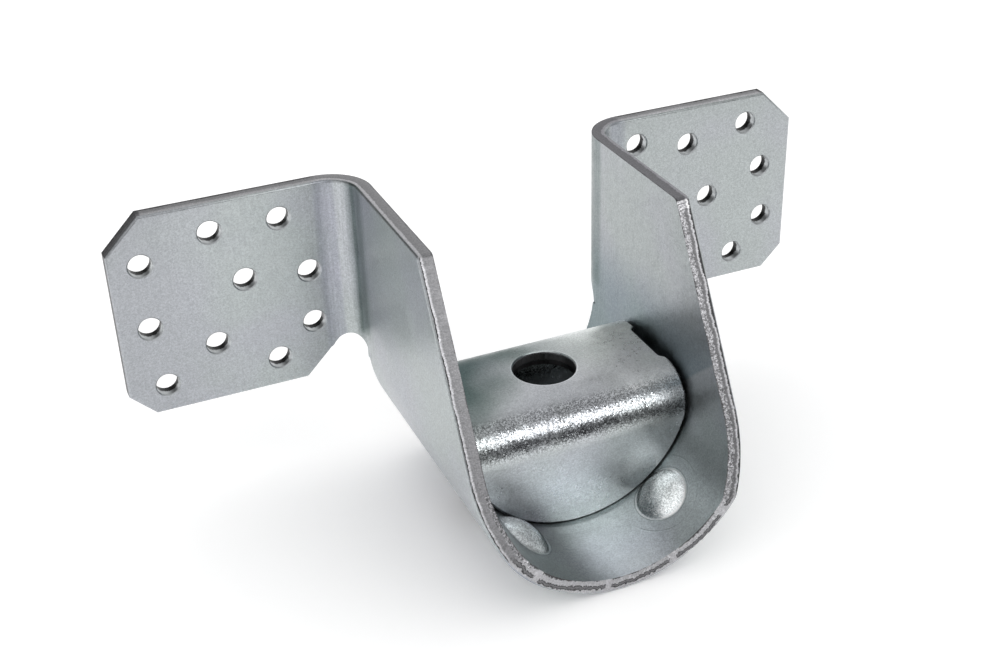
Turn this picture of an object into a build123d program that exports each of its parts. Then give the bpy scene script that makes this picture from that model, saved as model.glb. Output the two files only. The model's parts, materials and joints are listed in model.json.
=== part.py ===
from build123d import *
import math
import os

# Girder tiedown: one folded heavy sheet and the crescent washer that swivels in its round seat.
# Lengths are in millimetres and angles in degrees.
# The origin is the centre of the rod hole, on the washer's top face.
# X runs along the truss face, +Y points into the truss and +Z points up the rod.

# Sheet and overall size
sheet = 4.55
overall_width = 228.6
seat_width = 73.7
flange_height = 65.1
flange_bend_radius = 9.5
rod_to_truss = 52.9

# Places in height, taken from the washer's top face and the axis of the round seat
washer_above_axis = 2.7
top_above_axis = 54.0

# Side outline of the wall and seat, taken from the truss face
wall_top_reach = 63.5
seat_front_reach = 105.8
seat_back_setback = 12.5
slope_foot_below_axis = 20.8
wall_corner_round = 2.0
seat_corner_round = 3.0

# Flange outline
top_corner_cut = 10.8
bottom_corner_cut = 7.4
inner_corner_from_bend = 8.7
relief_radius = 6.5
relief_top_drop = 51.6

# Screw holes, as distances from the flange's outer end and down from its top edge
screw_hole_diameter = 7.1
left_screw_places = [
    (9.5, 15.5),
    (30.5, 9.3),
    (51.3, 9.3),
    (39.2, 26.7),
    (59.0, 28.4),
    (9.5, 36.2),
    (28.6, 45.9),
    (59.0, 45.9),
    (47.0, 55.8),
    (11.9, 56.1),
]
right_screw_places = [
    (17.5, 9.2),
    (39.2, 12.6),
    (58.0, 9.3),
    (10.8, 26.0),
    (31.0, 32.8),
    (49.3, 33.0),
    (9.2, 44.5),
    (48.3, 45.5),
    (20.2, 56.2),
    (35.8, 54.5),
]

# Rod slot in the seat, which lets the rod follow the slope of the truss chord
rod_slot_width = 19.0
steepest_pitch = math.degrees(math.atan(8 / 12))

# Dimples pressed up from the seat, which keep the washer from sliding out
dimple_from_bottom = 37.3
dimple_from_rod = 32.9
dimple_width = 17.9
dimple_height = 3.4
dimple_wall = 3.7
dimple_foot_round = 0.5
dent_rim_round = 1.0

# Crescent washer
rod_hole_diameter = 19.0
washer_depth = 49.2
washer_sheet = 4.55
washer_bend_radius = 9.1
washer_seat_clearance = 0.3
washer_side_clearance = 1.0
washer_waist_length = 67.4
washer_waist_width = 17.6
washer_waist_round = 2.0
washer_edge_break = 0.8

# Rolled edges that the shear and the punches leave on the side where they went in
rolled_edge_round = 0.8
screw_hole_edge_break = 0.35

# Sizes that follow
axis_z = -washer_above_axis
top_z = axis_z + top_above_axis
flange_bottom_z = top_z - flange_height
seat_inner_radius = seat_width / 2
seat_mid_radius = seat_inner_radius + sheet / 2
seat_outer_radius = seat_inner_radius + sheet
truss_face_y = rod_to_truss
flange_front_y = truss_face_y - sheet
bend_outer_radius = flange_bend_radius + sheet
bend_centre_x = seat_outer_radius + flange_bend_radius
bend_centre_y = flange_front_y - flange_bend_radius
seat_front_y = truss_face_y - seat_front_reach
seat_back_y = truss_face_y - seat_back_setback
wall_corner_y = truss_face_y - wall_top_reach
relief_centre_z = top_z - relief_top_drop - relief_radius
flange_end_x = overall_width / 2
leg_radius = seat_inner_radius - washer_side_clearance
leg_centre_z = axis_z - washer_side_clearance + washer_seat_clearance
washer_outer_bend = washer_bend_radius + washer_sheet
beyond = 5.0


def front_plane(y):
    """A plane across the part at the given Y, facing the front, with X to the right."""
    return Plane.XZ.offset(-y)


def arch(radius):
    """The U that the seat makes: a half circle below the axis and straight walls above it."""
    straight = Pos(0, axis_z + top_above_axis / 2) * Rectangle(2 * radius, top_above_axis)
    return straight + Pos(0, axis_z) * Circle(radius)


def dimpled_arch():
    """Both walls and the round seat with its dimples, as an arch that runs past the front and back."""
    section = front_plane(bend_centre_y + beyond) * (arch(seat_outer_radius) - arch(seat_inner_radius))
    wrap = extrude(section, amount=bend_centre_y + 2 * beyond - seat_front_y)
    for side in (-1, 1):
        bump, dent = dimple(side)
        wrap = (wrap + bump) - dent
    feet = [edge for edge in wrap.edges() if is_dimple_edge(edge, seat_inner_radius)]
    wrap = fillet(feet, dimple_foot_round)
    rims = [edge for edge in wrap.edges() if is_dimple_edge(edge, seat_outer_radius)]
    return fillet(rims, dent_rim_round)


def folded_seat():
    """Both walls and the round seat, cut to the side outline of the blank."""
    low_z = axis_z - seat_outer_radius - beyond
    side = Polyline(
        (bend_centre_y, top_z),
        (wall_corner_y, top_z),
        (seat_front_y, axis_z - slope_foot_below_axis),
        (seat_front_y, low_z),
        (seat_back_y, low_z),
        (seat_back_y, relief_centre_z),
        (bend_centre_y, relief_centre_z),
        close=True,
    )
    outline = make_face(side)
    corners = outline.vertices()
    outline = fillet([v for v in corners if abs(v.X - wall_corner_y) < 1e-3], wall_corner_round)
    foot = [v for v in outline.vertices() if abs(v.X - seat_front_y) < 1e-3 and v.Y > low_z + beyond]
    outline = fillet(foot, seat_corner_round)
    return dimpled_arch() & extrude(Plane.YZ * outline, amount=seat_outer_radius + beyond, both=True)


def flange_blank():
    """The right flange with its bend, full height and not yet trimmed."""
    quarter = Rectangle(bend_outer_radius, bend_outer_radius, align=(Align.MAX, Align.MIN))
    bend = (Circle(bend_outer_radius) - Circle(flange_bend_radius)) & quarter
    plate_length = flange_end_x - bend_centre_x
    plate = Pos(0, flange_bend_radius) * Rectangle(plate_length, sheet, align=(Align.MIN, Align.MIN))
    plan = Pos(bend_centre_x, bend_centre_y) * (bend + plate)
    return extrude(Plane.XY.offset(flange_bottom_z) * plan, amount=flange_height)


def flange_outline():
    """The trimmed shape of the flange, seen from the front, with a 45 degree edge up to the relief."""
    bend_mid_radius = flange_bend_radius + sheet / 2
    half_turn = math.radians(45)
    touch_up = relief_radius * math.sin(half_turn)
    touch_turn = half_turn - math.asin(touch_up / bend_mid_radius)
    edge = Polyline(
        (seat_inner_radius - beyond, top_z),
        (flange_end_x - top_corner_cut, top_z),
        (flange_end_x, top_z - top_corner_cut),
        (flange_end_x, flange_bottom_z + bottom_corner_cut),
        (flange_end_x - bottom_corner_cut, flange_bottom_z),
        (bend_centre_x + inner_corner_from_bend, flange_bottom_z),
        (bend_centre_x, flange_bottom_z + inner_corner_from_bend),
        (bend_centre_x - bend_mid_radius * math.sin(touch_turn), relief_centre_z + touch_up),
        (bend_centre_x - bend_mid_radius * math.sin(half_turn), relief_centre_z),
        (seat_inner_radius - beyond, relief_centre_z),
        close=True,
    )
    return make_face(edge)


def relief():
    """The round relief at the foot of the bend, cut square to the sheet of the bend and of the wall."""
    across_bend = Plane(
        origin=(bend_centre_x, bend_centre_y, relief_centre_z),
        x_dir=(0, 0, 1),
        z_dir=(-1, 1, 0),
    )
    across_wall = Plane(
        origin=(seat_inner_radius - beyond, seat_back_y + relief_radius, relief_centre_z),
        x_dir=(0, 1, 0),
        z_dir=(1, 0, 0),
    )
    through_bend = extrude(across_bend * Circle(relief_radius), amount=bend_outer_radius + beyond)
    reach = 2 * (bend_outer_radius + beyond)
    behind_seat = Pos(bend_centre_x, seat_back_y, relief_centre_z) * Box(
        2 * reach, reach, 4 * relief_radius, align=(Align.CENTER, Align.MIN, Align.CENTER)
    )
    through_wall = extrude(across_wall * Circle(relief_radius), amount=beyond + sheet)
    return (through_bend & behind_seat) + through_wall


def flange():
    """The right flange, trimmed and relieved."""
    reach = bend_outer_radius + 2 * beyond
    outline = extrude(front_plane(truss_face_y + beyond) * flange_outline(), amount=reach)
    return (flange_blank() & outline) - relief()


def screw_holes(side, places):
    """The holes of one flange: side is 1 on the right and -1 on the left."""
    cutters = []
    for from_end, drop in places:
        x = side * (flange_end_x - from_end)
        at = front_plane(truss_face_y + beyond) * Pos(x, top_z - drop)
        cutters.append(extrude(at * Circle(screw_hole_diameter / 2), amount=sheet + 2 * beyond))
    return cutters


def radial_plane(from_bottom, y):
    """A plane on the seat axis at the given Y, facing out through the seat."""
    turn = math.radians(from_bottom)
    return Plane(origin=(0, y, axis_z), x_dir=(0, 1, 0), z_dir=(math.sin(turn), 0, -math.cos(turn)))


def rod_slot():
    """The long slot in the seat, round at both ends, that the rod swings in."""
    inner = seat_inner_radius - beyond
    outer = seat_outer_radius + beyond
    seat_line = Axis((0, 0, axis_z), (0, 1, 0))
    straight_down = Plane(origin=(0, 0, axis_z), x_dir=(0, 1, 0), z_dir=(-1, 0, 0))
    band = Pos(0, inner) * Rectangle(rod_slot_width, outer - inner, align=(Align.CENTER, Align.MIN))
    slot = revolve(straight_down * band, axis=seat_line, revolution_arc=2 * steepest_pitch)
    slot = slot.rotate(seat_line, -steepest_pitch)
    for end in (-steepest_pitch, steepest_pitch):
        bit = Circle(rod_slot_width / 2)
        slot += extrude(radial_plane(end, 0).offset(inner) * bit, amount=outer - inner)
    return slot


def dimple(side):
    """One pressed dimple: the bump inside the seat and the dent that the punch leaves outside."""
    half = dimple_width / 2
    bump_radius = (half**2 + dimple_height**2) / (2 * dimple_height)
    reach = seat_inner_radius - dimple_height + bump_radius
    turn = math.radians(dimple_from_bottom)
    centre = Pos(side * reach * math.sin(turn), -dimple_from_rod, axis_z - reach * math.cos(turn))
    within = Pos(0, -dimple_from_rod, axis_z) * Rot(90, 0, 0) * Cylinder(seat_mid_radius, 4 * half)
    bump = (centre * Sphere(bump_radius)) & within
    dent = centre * Sphere(bump_radius - dimple_wall)
    return bump, dent


def near(a, b):
    """True for two lengths that are the same but for rounding."""
    return abs(a - b) < 0.01


def from_seat_axis(place):
    """How far a place is from the axis of the round seat."""
    return math.hypot(place.X, place.Z - axis_z)


def is_rolled_outline(edge):
    """True for the blank's outline on the flange fronts and on the outside of the walls and seat."""
    place = edge @ 0.5
    out = abs(place.X)
    from_bend = math.hypot(out - bend_centre_x, place.Y - bend_centre_y)
    above_seat = place.Z > axis_z + rolled_edge_round
    on_flange = near(place.Y, flange_front_y) and out > bend_centre_x + inner_corner_from_bend
    on_bend = near(place.Z, top_z) and near(from_bend, flange_bend_radius)
    on_wall_top = near(out, seat_outer_radius) and place.Z > top_z - wall_corner_round
    on_wall_front = near(out, seat_outer_radius) and above_seat and place.Y < wall_corner_y
    on_seat_face = near(from_seat_axis(place), seat_outer_radius) and not above_seat and place.Y < 0
    on_seat_front = on_seat_face and not is_dimple_edge(edge, seat_outer_radius)
    return on_flange or on_bend or on_wall_top or on_wall_front or on_seat_front


def is_dimple_edge(edge, radius):
    """True for the ring of a dimple on the seat surface of the given radius."""
    place = edge @ 0.5
    turn = math.atan2(abs(place.X), axis_z - place.Z) - math.radians(dimple_from_bottom)
    ring = 0.6 * dimple_width
    close = abs(place.Y + dimple_from_rod) < ring and abs(turn) * seat_inner_radius < ring
    return close and near(from_seat_axis(place), radius)


def is_screw_hole_edge(edge):
    """True for the front rim of a screw hole."""
    round_edge = edge.geom_type == GeomType.CIRCLE and near(edge.length, math.pi * screw_hole_diameter)
    return round_edge and near((edge @ 0.5).Y, flange_front_y)


def body():
    """The folded sheet with its rolled edges, rod slot, dimples and screw holes."""
    right = flange()
    folded = folded_seat() + right + mirror(right, about=Plane.YZ)
    folded = fillet(folded.edges().filter_by(is_rolled_outline), rolled_edge_round)
    folded = folded - rod_slot()
    folded = folded - screw_holes(-1, left_screw_places)
    folded = folded - screw_holes(1, right_screw_places)
    return chamfer(folded.edges().filter_by(is_screw_hole_edge), screw_hole_edge_break)


def washer_channel():
    """The washer's section, bent down at the front and back, as a bar that runs past the seat."""
    low = leg_centre_z - leg_radius - beyond
    outer = Pos(0, low / 2) * Rectangle(washer_depth, -low)
    outer = fillet([v for v in outer.vertices() if v.Y > -beyond], washer_outer_bend)
    inner_width = washer_depth - 2 * washer_sheet
    inner = Pos(0, (low - washer_sheet) / 2) * Rectangle(inner_width, -low - washer_sheet)
    inner = fillet([v for v in inner.vertices() if v.Y > -washer_sheet - beyond], washer_bend_radius)
    return extrude(Plane.YZ * (outer - inner), amount=leg_radius + beyond, both=True)


def half_moon():
    """The outline of the washer's legs, seen from the front: round below and flat along the top."""
    below = Pos(0, -leg_radius) * Rectangle(2 * leg_radius, 2 * leg_radius)
    return (Pos(0, leg_centre_z) * Circle(leg_radius)) & below


def is_leg_rim(edge):
    """True for the legs' round outline, where it meets the washer's outer side."""
    place = edge @ 0.5
    into_bend = abs(place.Y) - washer_depth / 2 + washer_outer_bend
    from_bend = math.hypot(into_bend, place.Z + washer_outer_bend)
    on_bend = into_bend > 0 and near(from_bend, washer_outer_bend)
    on_outside = near(place.Z, 0) or near(abs(place.Y), washer_depth / 2) or on_bend
    return on_outside and near(math.hypot(place.X, place.Z - leg_centre_z), leg_radius)


def waist_cut(side):
    """The shallow waist in one end of the washer, with soft corners: side is 1 on the right."""
    bottom = washer_waist_length / 2
    mouth = leg_radius + beyond
    half = washer_waist_width / 2
    flare = half + mouth - bottom
    notch = make_face(Polyline((bottom, -half), (mouth, -flare), (mouth, flare), (bottom, half), close=True))
    notch = fillet([v for v in notch.vertices() if near(v.X, bottom)], washer_waist_round)
    cut = extrude(notch, amount=washer_outer_bend, both=True)
    return cut if side > 0 else mirror(cut, about=Plane.YZ)


def washer():
    """The crescent washer: a channel whose two half-moon legs bear in the seat."""
    blank = extrude(front_plane(washer_depth / 2) * half_moon(), amount=washer_depth)
    pressed = washer_channel() & blank
    pressed = chamfer(pressed.edges().filter_by(is_leg_rim), washer_edge_break)
    for side in (-1, 1):
        pressed = pressed - waist_cut(side)
    return pressed - Cylinder(rod_hole_diameter / 2, 4 * washer_sheet)


os.makedirs("parts", exist_ok=True)
export_step(body(), "parts/body.step")
export_step(washer(), "parts/crescent_washer.step")
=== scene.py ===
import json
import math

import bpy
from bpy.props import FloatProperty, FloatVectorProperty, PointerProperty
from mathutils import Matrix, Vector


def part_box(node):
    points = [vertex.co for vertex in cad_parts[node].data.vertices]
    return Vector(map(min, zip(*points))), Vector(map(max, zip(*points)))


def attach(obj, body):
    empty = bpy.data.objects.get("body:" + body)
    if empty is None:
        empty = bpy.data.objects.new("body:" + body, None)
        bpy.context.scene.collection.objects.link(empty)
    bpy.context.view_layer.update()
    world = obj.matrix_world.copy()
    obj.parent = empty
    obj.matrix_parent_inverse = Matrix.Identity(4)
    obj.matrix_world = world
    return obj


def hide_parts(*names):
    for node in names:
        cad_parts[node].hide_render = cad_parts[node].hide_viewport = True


bl_info = {
    "name": "Girder Tiedown Finish",
    "version": (1, 0, 0),
    "blender": (4, 5, 0),
    "location": "View3D > Sidebar > Tiedown",
    "description": "Finishes a folded girder tiedown and its crescent washer in galvanized steel",
    "category": "Object",
}

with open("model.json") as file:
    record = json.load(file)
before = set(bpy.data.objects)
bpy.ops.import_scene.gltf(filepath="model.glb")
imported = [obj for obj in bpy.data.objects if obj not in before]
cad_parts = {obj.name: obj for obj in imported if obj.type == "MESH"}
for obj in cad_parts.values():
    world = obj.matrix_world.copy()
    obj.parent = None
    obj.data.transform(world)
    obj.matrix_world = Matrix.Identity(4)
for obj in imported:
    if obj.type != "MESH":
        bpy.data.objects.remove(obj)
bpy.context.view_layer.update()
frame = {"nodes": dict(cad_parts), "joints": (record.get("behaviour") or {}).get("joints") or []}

BODY_LOW, BODY_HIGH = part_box("body")
WASHER_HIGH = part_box("crescent_washer")[1]
SEAT_AXIS_Z = frame["joints"][0]["pos_m"][2]

# Sizes of the folded sheet that the finish follows, in metres
SHEET = 0.00455
SEAT_OUTER = 0.0414
SEAT_MIDDLE = SEAT_OUTER - SHEET / 2
SEAT_FRONT_Y = BODY_LOW.y
BEND_INNER = 0.0095
BEND_X = SEAT_OUTER + BEND_INNER
FLANGE_FRONT = BODY_HIGH.y - SHEET
FLANGE_HEIGHT = 0.0651
BEND_Y = FLANGE_FRONT - BEND_INNER
BEND_FOOT_Z = SEAT_AXIS_Z - 0.006
SLOPE_FOOT_Z = SEAT_AXIS_Z - 0.0208
RELIEF_TOP_Z = BODY_HIGH.z - 0.0516

# Sizes of the washer
WASHER_BEND = 0.01365
WASHER_BEND_Y = WASHER_HIGH.y - WASHER_BEND
WASHER_BEND_Z = WASHER_HIGH.z - WASHER_BEND
WASHER_RIM = 0.00035
ROD_RADIUS = 0.0095

# The two dimples in the seat, along the fold from its bottom and across it, and the punch's outer mark
DIMPLE_ALONG = SEAT_MIDDLE * math.radians(37.3)
DIMPLE_Y = -0.0329
DIMPLE_RADIUS = 0.0092
WITNESS_RADIUS = 0.0131

# How triangles are joined and shaded, and which faces are the sheet's broad faces and which its cut edges
MERGE_DISTANCE = 1e-6
FLAT_ANGLE = math.radians(0.2)
SMOOTH_ANGLE = math.radians(28)
RIM_SMOOTH_ANGLE = math.radians(50)
FACING_FACE = 0.9
FACING_CUT = 0.3

# Where the screw holes' walls are looked for: clear of the bend, the outline and the cut corners
HOLE_BEND_GAP = 0.001
HOLE_EDGE_GAP = 0.002
CORNER_GAP = 0.0135
FRONT_SLACK = 0.0004

# The range that noise values mostly fill, and the range of the crystals' greys that makes their glints
NOISE_LOW = 0.3
NOISE_HIGH = 0.7
CRYSTAL_LOW = 0.2
CRYSTAL_HIGH = 0.8

# Zinc crystals: their size on the faces and on the sheared edges, and how far they lean out of the face
CRYSTAL_SIZE = 0.00030
EDGE_CRYSTAL_SIZE = 0.00024
FLAT_LEAN = 0.03
CROWN_LEAN = 0.16
BEND_LEAN = 0.17
EDGE_LEAN = 0.12

# Heights in metres of the zinc's grain, patches and streaks, and of the patterns on the cut edges
FINE_HEIGHT = 3e-6
COARSE_HEIGHT = 1e-5
PATCH_HEIGHT = 6e-5
STREAK_HEIGHT = 2e-5
EDGE_HEIGHT = 4e-5
HOLE_HEIGHT = 3e-5
WASHER_EDGE_HEIGHT = 8e-5

# How far the zinc's streaks are drawn out along the fold, and how strong they are
STREAK_STRETCH = 0.05
STREAKS_FLAT = 0.14
STREAKS_AT_BEND = 0.35
STREAKS_WASHER = 0.15

# Bands round the saddle's bends, across the fold: start, end and softness. The first holds the streaks, the
# other three painted shade
STREAKY_BAND = (BEND_Y - 0.006, BEND_Y + 0.022, 0.006)
PAINTED_DULL_BAND = (BEND_Y - 0.003, BEND_Y + 0.0062, 0.0022)
PAINTED_LINE_BAND = (BEND_Y + 0.0036, BEND_Y + 0.0056, 0.0006)
PAINTED_PALE_BAND = (BEND_Y + 0.0125, BEND_Y + 0.0190, 0.0015)

# How far those bands wobble, and the height over which two of them fade in above the reliefs
BAND_WOBBLE = 0.0009
RELIEF_FADE = 0.003

# Painted shade round the bends: dull grey-green by the wall, a dark line, and pale lavender by the flange
PAINTED_BEND_SHADE = (0.60, 0.66, 0.63)
PAINTED_LINE_SHADE = (0.55, 0.60, 0.58)
PAINTED_PALE_SHADE = (0.80, 0.79, 0.86)
PAINTED_DULL_STRENGTH = 0.85
PAINTED_LINE_STRENGTH = 0.6
PAINTED_PALE_STRENGTH = 0.8

# Round each dimple, by distance from its middle: the dome, a painted highlight along its rim, the punch's
# ring and outer mark
CROWN_EDGE = (DIMPLE_RADIUS - 0.0015, DIMPLE_RADIUS)
PAINTED_RIM_HIGHLIGHT_BAND = (DIMPLE_RADIUS - 0.0006, DIMPLE_RADIUS - 0.0001, 0.0002)
RING_BAND = (DIMPLE_RADIUS + 0.0001, DIMPLE_RADIUS + 0.0003, 0.0002)
WITNESS_BAND = (WITNESS_RADIUS, WITNESS_RADIUS + 0.0003, 0.00025)

# The dark shade of the ring and of the outer mark, and how deep they are
MARK_SHADE = (0.1, 0.12, 0.12)
RING_DEPTH = 6e-5
WITNESS_DEPTH = 5e-5

# The painted highlight on each dome: its edge, its turn towards the front, its strength, gain and metal
DOME_HIGHLIGHT_EDGE = (-0.0038, 0.0026)
DOME_HIGHLIGHT_TURN = -0.6
DOME_HIGHLIGHT_STRENGTH = 0.75
DOME_HIGHLIGHT_GAIN = 2.0
DOME_HIGHLIGHT_METAL = 0.35

# Painted light and shade along X: each goes from one place to another and from one level to another, and
# holds beyond
PAINTED_SIDE_LIGHT = (
    (0.030, 0.036, 1.0, 0.83),
    (0.042, 0.055, 1.0, 1.10),
    (BODY_LOW.x, BODY_LOW.x + 0.050, 0.88, 1.11),
    (-0.062, -0.053, 1.0, 0.90),
)
PAINTED_SEAT_LIGHT = ((-0.012, 0.002, 0.66, 1.42), (0.031, 0.038, 1.0, 0.76))

# How far up the seat's painted light and shade reach, and the painted light to the right of the right dimple
PAINTED_SEAT_LIGHT_Z = (-0.030, -0.016)
BESIDE_DIMPLE = (0.0265, 0.0335, 0.003)
BESIDE_DIMPLE_PAINTED_LIGHT = 1.3

# Painted shade on the lavender foot of the left wall's outer face: how far up, how deep in the sheet and how
# far across
PAINTED_FOOT_SHADE = (0.74, 0.73, 0.79)
LOW_Z = (-0.030, -0.010)
LOW_DEPTH = (0.001, 0.002)
LOW_X = (-0.030, -0.020)

# Painted blue-grey shade on the right wall, over a line that slants down to the back, and fading upwards
PAINTED_WALL_SHADE = (0.62, 0.70, 0.73)
SLANT = 0.88
SLANT_EDGE = (-0.0215, -0.0198)
SHADED_Z = (0.002, 0.026)
SHADED_X = (0.020, 0.030)

# The band of crystals round the washer's bends and a band of painted shade below it, by how far out and down
# they lie
CRYSTAL_BAND = (WASHER_BEND_Y + 0.0085, WASHER_HIGH.y + 0.0110, 0.0018)
PAINTED_LOWER_BAND = (WASHER_BEND_Y + 0.0190, WASHER_BEND_Y + 0.0240, 0.0015)
PAINTED_LOWER_SHADE = 0.66

# The low wave in the washer, deeper in its legs than on its top
WAVE_SCALE = 55.0
LEG_WAVE = 2.2e-4
TOP_WAVE = 6e-5
TOP_Z = (-0.004, -0.001)

# Painted light and shade on the washer: shade on its top at the back left, light at its right end, a
# highlight on the rod hole's rim, light on the legs, and shade inside
BACK_LEFT_PAINTED_SHADE = (0.16, 0.23, 0.22)
RIGHT_END_PAINTED_LIGHT = (1.72, 1.71, 1.66)
ROD_RIM_PAINTED_HIGHLIGHT = (1.5, 1.5, 1.5)
LEG_PAINTED_LIGHT = (1.05, 1.05, 1.07)
INSIDE_PAINTED_SHADE = (0.12, 0.13, 0.13)

# How far two of those shades sway, where the shades begin and end, and how metallic the bright end is
SHADE_SWAY = 0.005
BACK_LEFT_SHADE_CORNER = (-0.002, 0.029)
BRIGHT_END = (0.002, 0.024)
BRIGHT_METAL = 0.62
ROD_RIM = (ROD_RADIUS + 0.0003, ROD_RADIUS + 0.0008)
LEG_Z = (WASHER_BEND_Z - 0.002, WASHER_BEND_Z + 0.002)

# Bands across the sheared edges: share of the sheet from its outer or front face, and grey level. The palest
# stops at the outer face are the rim's die roll with a painted highlight on it; the near-black stops in the
# seat's groove and at the back of the holes are painted shade
LEFT_BANDS = (
    (0.0, 0.9), (0.07, 0.9), (0.11, 0.05), (0.17, 0.08), (0.21, 0.75),
    (0.30, 0.6), (0.36, 0.31), (0.95, 0.32), (1.0, 0.14),
)
RIGHT_BANDS = (
    (0.0, 0.3), (0.06, 0.06), (0.22, 0.09), (0.27, 0.66), (0.34, 0.58),
    (0.41, 0.22), (0.54, 0.20), (0.62, 0.38), (0.94, 0.42), (1.0, 0.1),
)
TOP_BANDS = ((0.0, 0.5), (0.12, 0.60), (0.30, 0.60), (0.36, 0.30), (0.9, 0.34), (1.0, 0.17))
SEAT_BANDS = (
    (0.0, 0.75), (0.05, 0.50), (0.27, 0.48), (0.31, 0.01), (0.37, 0.17),
    (0.49, 0.21), (0.56, 0.01), (0.60, 0.46), (0.93, 0.44), (0.97, 0.08),
)
FLANGE_BANDS = (
    (0.0, 0.80), (0.06, 0.90), (0.12, 0.52), (0.36, 0.46),
    (0.46, 0.30), (0.78, 0.27), (0.88, 0.08), (1.0, 0.04),
)
HOLE_BANDS = ((0.0, 0.62), (0.08, 0.50), (0.30, 0.55), (0.46, 0.50), (0.56, 0.03), (1.0, 0.02))
WASHER_BANDS = ((0.0, 0.95), (0.12, 0.8), (0.2, 0.25), (0.6, 0.2), (0.7, 0.08), (1.0, 0.06))

# The top edge of the right wall is darker than the left one's
RIGHT_TOP_SHADE = (0.60, 0.60, 0.62)

# Patterns on the sheared edges: how much they change through the sheet against along it, and their scale
EDGE_STREAKS = (0.22, 1500.0)
EDGE_SPECKS = (0.8, 2600.0)
EDGE_RAGGED = (0.35, 1300.0)
EDGE_SWELL = (0.0, 120.0)
EDGE_BLOTCHES = (0.9, 1500.0)
HOLE_ROUGH = (0.3, 900.0)
WASHER_STREAKS = (0.3, 1400.0)

# How far the bands on the edges sway, and the share of it away from the seat's front, left and right
RAGGED_SWAY = 0.00034
SWELL_SWAY = 0.00045
BRIDGE_SWAY = 0.0004
BAND_SWAY = 0.0003
SLOPE_SWAYS = (0.35, 0.60)

# Half the width of the change from the left side to the right one, at the middle of the seat
MIDDLE = 0.005

# Where the edge of the seat's front, the top edge and the flanges' edge begin
ON_SEAT_Z = (SLOPE_FOOT_Z - 0.001, SLOPE_FOOT_Z + 0.002)
IN_FRONT_Y = (SEAT_FRONT_Y + 0.0005, SEAT_FRONT_Y + 0.004)
ON_TOP_Z = (BODY_HIGH.z - 0.0006, BODY_HIGH.z - 0.0003)
PAST_BEND = (BEND_Y + 0.017, BEND_Y + 0.019)

# The flanges' cut corners and ends, which are darker than their top and bottom edges
CORNER_X = BODY_HIGH.x - 0.0122
CORNER_FADE = 0.0006
CORNER_SHARE = (0.05, 0.12)
CORNER_SHADE = (0.35, 0.35, 0.36)

# The groove torn by the shear along the seat's front edge: its share of the sheet and its depth
GROOVE_BAND = (0.31, 0.57, 0.02)
GROOVE_DEPTH = 2e-4

# Places along that edge where the groove is bridged, and their half widths
BRIDGES = (
    (-0.0576, 0.0012), (-0.0306, 0.0011), (-0.0056, 0.0010),
    (0.0155, 0.0012), (0.0353, 0.0014), (0.0634, 0.0010),
)
BRIDGE_SOFT = 0.0002
BRIDGE_COLOR = (0.48, 0.478, 0.495)

# The speckled foot of the left slope: two ends along the fold, share of the sheet, and front part only
FOOT_TOP = (-0.0580, -0.0570)
FOOT_BOTTOM = (-0.0350, -0.0335)
FOOT_SHARE = (0.70, 0.76)
FOOT_Y = (-0.030, -0.020)

# The bitten inner part of the right edge, and the chipped top of its slope
BITTEN_SHARE = (0.50, 0.62)
BITTEN_ON_SEAT = 0.35
CHIPPED_Z = (BODY_HIGH.z - 0.0034, BODY_HIGH.z - 0.0024)

# The photograph's viewpoint
CAMERA_PLACE = (-0.15564, -0.33926, 0.22777)
CAMERA_RIGHT = (0.91562, -0.40100, -0.02901)
CAMERA_UP = (0.22385, 0.44854, 0.86528)
CAMERA_BACK = (-0.33396, -0.79876, 0.50045)
CAMERA_LENS = 53.0
CAMERA_SENSOR = 36.0
CAMERA_NEAR = 0.01

# The studio: a wide floor, one soft lamp at the front right, and a dark card across the front
FLOOR_SIZE = 60.0
FLOOR_GAP = 0.0001
KEY_PLACE = (0.370, -0.925, 0.660)
KEY_SIZE = (1.0, 0.19)
KEY_ROLL = math.radians(-12)
CARD_Y = -0.62
CARD_SIZE = (2.6, 0.26)
CARD_COLOR = (0.05, 0.05, 0.055, 1.0)

# The surround: on each side two places from front to back and their levels, then where the sides change
RIGHT_LEVELS = (-0.35, 0.35, 0.42, 0.88)
LEFT_LEVELS = (-0.30, 0.30, 0.74, 0.12)
SIDE_CHANGE = (-0.35, 0.30)

# How high the pale horizon reaches
HORIZON = (0.02, 0.12)


class FinishSettings(bpy.types.PropertyGroup):
    """Colours and grain of the galvanized steel."""

    zinc: FloatVectorProperty(
        name="Zinc",
        description="Colour of the galvanized faces",
        subtype="COLOR",
        default=(0.497, 0.519, 0.531),
    )
    cut: FloatVectorProperty(
        name="Sheared edge",
        description="Colour of the sheared edges",
        subtype="COLOR",
        default=(0.455, 0.454, 0.470),
    )
    grain: FloatProperty(
        name="Grain size",
        description="Size of the finest grain of the zinc",
        default=0.0007,
        unit="LENGTH",
    )
    mottle: FloatProperty(
        name="Mottle size",
        description="Size of the cloudy patches in the zinc",
        default=0.012,
        unit="LENGTH",
    )
    zinc_roughness: FloatProperty(
        name="Zinc roughness",
        description="Roughness of the flat galvanized faces",
        default=0.37,
        min=0,
        max=1,
    )
    washer_roughness: FloatProperty(
        name="Washer roughness",
        description="Roughness of the pressed washer's faces",
        default=0.32,
        min=0,
        max=1,
    )


class StageSettings(bpy.types.PropertyGroup):
    """Light and floor of the studio."""

    floor: FloatVectorProperty(
        name="Floor",
        description="Colour of the floor",
        subtype="COLOR",
        default=(0.95, 0.95, 0.95),
    )
    fill: FloatProperty(
        name="Fill",
        description="Level of the soft light from all round that falls on matt surfaces",
        default=1.0,
        min=0,
    )
    floor_white: FloatProperty(
        name="Floor white",
        description="How far the camera and the steel see the floor brightened towards white",
        default=1.26,
        min=1,
    )
    key_power: FloatProperty(
        name="Key power",
        description="Power of the soft lamp above the front right",
        default=3.1,
        unit="POWER",
    )


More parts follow.
